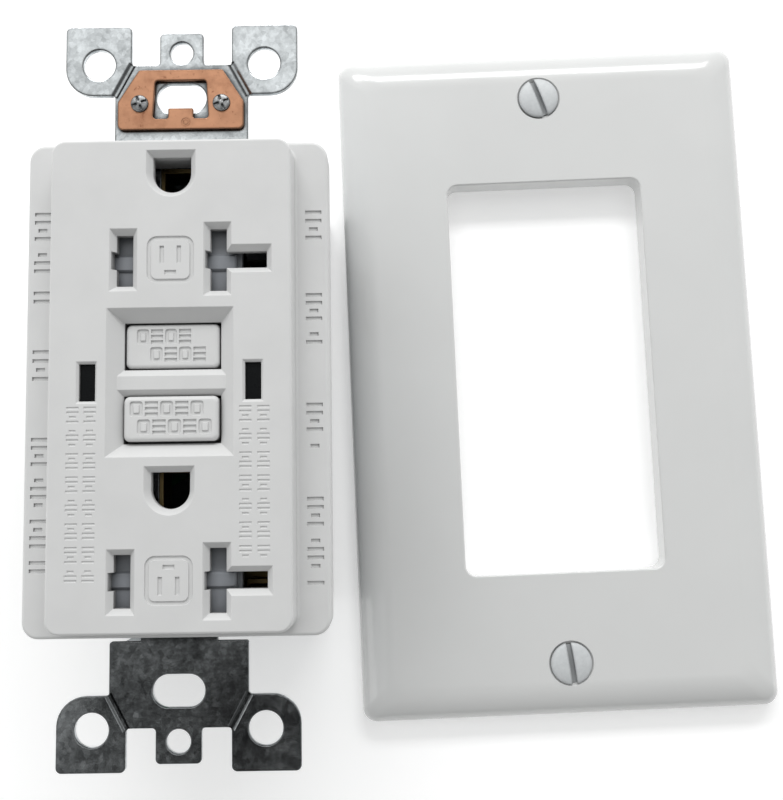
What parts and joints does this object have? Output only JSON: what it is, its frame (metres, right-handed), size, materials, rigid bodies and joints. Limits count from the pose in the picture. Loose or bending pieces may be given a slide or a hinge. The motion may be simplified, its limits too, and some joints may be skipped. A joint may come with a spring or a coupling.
{
  "type": "gfci outlet",
  "caption": "Decorator-style ground-fault duplex receptacle with test and reset buttons, shuttered slots, zinc mounting strap and a loose wall plate with its screws.",
  "frame": {"origin": "centre of the rear cover's flat back, on the bench the device lies on", "axes": "+X to the right of the face, +Y along the device towards its top end, +Z out of the face"},
  "size_m": [0.1149, 0.1162, 0.0425],
  "materials": {
    "white_resin": "satin moulded thermoplastic, faintly textured",
    "gloss_resin": "polished moulded thermoplastic",
    "housing_resin": "grey moulded thermoplastic",
    "grey_resin": "grey moulded thermoplastic",
    "dark_resin": "dark moulded thermoplastic",
    "smoked_lens": "dark smoked light pipe",
    "zinc_steel": "zinc plated, mottled",
    "copper_alloy": "copper alloy sheet",
    "brass": "brass sheet",
    "nickel_steel": "nickel plated steel",
    "green_screw": "green dyed plating",
    "spring_steel": "bright spring wire",
    "board": "green solder mask over glass laminate",
    "windings": "enamelled copper wire",
    "ferrite": "dark coated ferrite ring",
    "varistor_coat": "blue epoxy coat",
    "led_resin": "diffused green epoxy"
  },
  "bodies": {
    "receptacle": {"front_cover": "white_resin", "left_window": "smoked_lens", "right_window": "smoked_lens", "middle_frame": "grey_resin", "upper_shutter_spring": "spring_steel", "lower_shutter_spring": "spring_steel", "reset_spring": "spring_steel", "plunger_spring": "spring_steel", "upper_ground_contact": "brass", "lower_ground_contact": "brass", "hot_contact_bar": "brass", "neutral_contact_bar": "brass", "line_hot_terminal": "brass", "line_neutral_terminal": "brass", "mounting_strap": "zinc_steel", "clip_rivet_left": "zinc_steel", "clip_rivet_right": "zinc_steel", "ground_clip": "copper_alloy", "solenoid_bobbin": "dark_resin", "rear_cover": "housing_resin", "housing_screw_upper_right": "nickel_steel", "housing_screw_upper_left": "nickel_steel", "housing_screw_lower_left": "nickel_steel", "housing_screw_lower_right": "nickel_steel", "solenoid_coil": "windings", "circuit_board": "board", "sense_transformer": "ferrite", "ground_transformer": "ferrite", "varistor": "varistor_coat", "left_led": "led_resin", "right_led": "led_resin"},
    "test_button": {"test_button": "white_resin"},
    "test_contact": {"test_contact": "copper_alloy"},
    "reset_button": {"reset_button": "white_resin", "reset_pin": "nickel_steel"},
    "upper_shutter": {"upper_shutter": "grey_resin"},
    "lower_shutter": {"lower_shutter": "grey_resin"},
    "contact_carrier": {"contact_carrier": "dark_resin"},
    "line_hot_arm": {"line_hot_arm": "copper_alloy"},
    "line_neutral_arm": {"line_neutral_arm": "copper_alloy"},
    "plunger": {"plunger": "nickel_steel"},
    "latch_plate": {"latch_plate": "zinc_steel"},
    "ground_screw": {"ground_screw": "green_screw"},
    "wall_plate": {"wall_plate": "gloss_resin"},
    "plate_screw_upper": {"plate_screw_upper": "nickel_steel"},
    "plate_screw_lower": {"plate_screw_lower": "nickel_steel"},
    "line_hot_screw": {"line_hot_screw": "brass"},
    "line_hot_clamp": {"line_hot_clamp": "zinc_steel"},
    "line_neutral_screw": {"line_neutral_screw": "nickel_steel"},
    "line_neutral_clamp": {"line_neutral_clamp": "zinc_steel"},
    "load_hot_screw": {"load_hot_screw": "brass"},
    "load_hot_clamp": {"load_hot_clamp": "zinc_steel"},
    "load_neutral_screw": {"load_neutral_screw": "nickel_steel"},
    "load_neutral_clamp": {"load_neutral_clamp": "zinc_steel"}
  },
  "joints": [
    {"name": "test_press", "type": "slide", "parent": "receptacle", "child": "test_button", "axis": [0, 0, -1], "range_m": [0, 0.0013]},
    {"name": "test_contact_flex", "type": "hinge", "parent": "receptacle", "child": "test_contact", "pos_m": [0, 0.0136, 0.026], "axis": [1, 0, 0], "range_deg": [0, 9]},
    {"name": "reset_press", "type": "slide", "parent": "receptacle", "child": "reset_button", "axis": [0, 0, -1], "range_m": [0, 0.0022], "deforming": ["reset_spring"]},
    {"name": "upper_shutter_slide", "type": "slide", "parent": "receptacle", "child": "upper_shutter", "axis": [-1, 0, 0], "range_m": [0, 0.0039], "deforming": ["upper_shutter_spring"]},
    {"name": "lower_shutter_slide", "type": "slide", "parent": "receptacle", "child": "lower_shutter", "axis": [-1, 0, 0], "range_m": [0, 0.0039], "deforming": ["lower_shutter_spring"]},
    {"name": "contacts_close", "type": "slide", "parent": "receptacle", "child": "contact_carrier", "axis": [0, 0, 1], "range_m": [0, 0.001]},
    {"name": "hot_arm_swing", "type": "hinge", "parent": "receptacle", "child": "line_hot_arm", "pos_m": [-0.007, -0.011, 0.01985], "axis": [1, 0, 0], "range_deg": [0, 5]},
    {"name": "neutral_arm_swing", "type": "hinge", "parent": "receptacle", "child": "line_neutral_arm", "pos_m": [0.007, -0.011, 0.01985], "axis": [1, 0, 0], "range_deg": [0, 5]},
    {"name": "trip", "type": "slide", "parent": "receptacle", "child": "plunger", "axis": [0, 1, 0], "range_m": [0, 0.0012], "deforming": ["plunger_spring"]},
    {"name": "latch_slide", "type": "slide", "parent": "receptacle", "child": "latch_plate", "axis": [0, 1, 0], "range_m": [0, 0.0012]},
    {"name": "line_hot_screw_turn", "type": "hinge", "parent": "receptacle", "child": "line_hot_screw", "pos_m": [-0.017, -0.019, 0.017], "axis": [-1, 0, 0], "range_deg": [0, 720]},
    {"name": "line_hot_clamp_draw", "type": "slide", "parent": "receptacle", "child": "line_hot_clamp", "axis": [1, 0, 0], "range_m": [0, 0.00159]},
    {"name": "load_hot_screw_turn", "type": "hinge", "parent": "receptacle", "child": "load_hot_screw", "pos_m": [-0.017, 0.019, 0.017], "axis": [-1, 0, 0], "range_deg": [0, 720]},
    {"name": "load_hot_clamp_draw", "type": "slide", "parent": "receptacle", "child": "load_hot_clamp", "axis": [1, 0, 0], "range_m": [0, 0.00159]},
    {"name": "line_neutral_screw_turn", "type": "hinge", "parent": "receptacle", "child": "line_neutral_screw", "pos_m": [0.017, -0.019, 0.017], "axis": [1, 0, 0], "range_deg": [0, 720]},
    {"name": "line_neutral_clamp_draw", "type": "slide", "parent": "receptacle", "child": "line_neutral_clamp", "axis": [-1, 0, 0], "range_m": [0, 0.00159]},
    {"name": "load_neutral_screw_turn", "type": "hinge", "parent": "receptacle", "child": "load_neutral_screw", "pos_m": [0.017, 0.019, 0.017], "axis": [1, 0, 0], "range_deg": [0, 720]},
    {"name": "load_neutral_clamp_draw", "type": "slide", "parent": "receptacle", "child": "load_neutral_clamp", "axis": [-1, 0, 0], "range_m": [0, 0.00159]},
    {"name": "ground_screw_turn", "type": "hinge", "parent": "receptacle", "child": "ground_screw", "pos_m": [-0.005, -0.03695, 0.0298], "axis": [0, -1, 0], "range_deg": [0, 720]},
    {"name": "wall_plate_lift", "type": "slide", "parent": "receptacle", "child": "wall_plate", "axis": [0, 0, 1], "range_m": [0, 0.02]},
    {"name": "plate_screw_upper_turn", "type": "hinge", "parent": "wall_plate", "child": "plate_screw_upper", "pos_m": [0.05597, 0.05298, 0.005], "axis": [0, 0, 1], "range_deg": [0, 720]},
    {"name": "plate_screw_lower_turn", "type": "hinge", "parent": "wall_plate", "child": "plate_screw_lower", "pos_m": [0.05877, -0.04382, 0.005], "axis": [0, 0, 1], "range_deg": [0, 720]}
  ],
  "couplings": [
    {"joint": "test_contact_flex", "follows": "test_press", "rad_per_m": 116.28},
    {"joint": "hot_arm_swing", "follows": "contacts_close", "rad_per_m": 83.33},
    {"joint": "neutral_arm_swing", "follows": "contacts_close", "rad_per_m": 83.33},
    {"joint": "latch_slide", "follows": "trip", "ratio": 1},
    {"joint": "line_hot_screw_turn", "follows": "line_hot_clamp_draw", "rad_per_m": 7913.3},
    {"joint": "load_hot_screw_turn", "follows": "load_hot_clamp_draw", "rad_per_m": 7913.3},
    {"joint": "line_neutral_screw_turn", "follows": "line_neutral_clamp_draw", "rad_per_m": 7913.3},
    {"joint": "load_neutral_screw_turn", "follows": "load_neutral_clamp_draw", "rad_per_m": 7913.3}
  ]
}
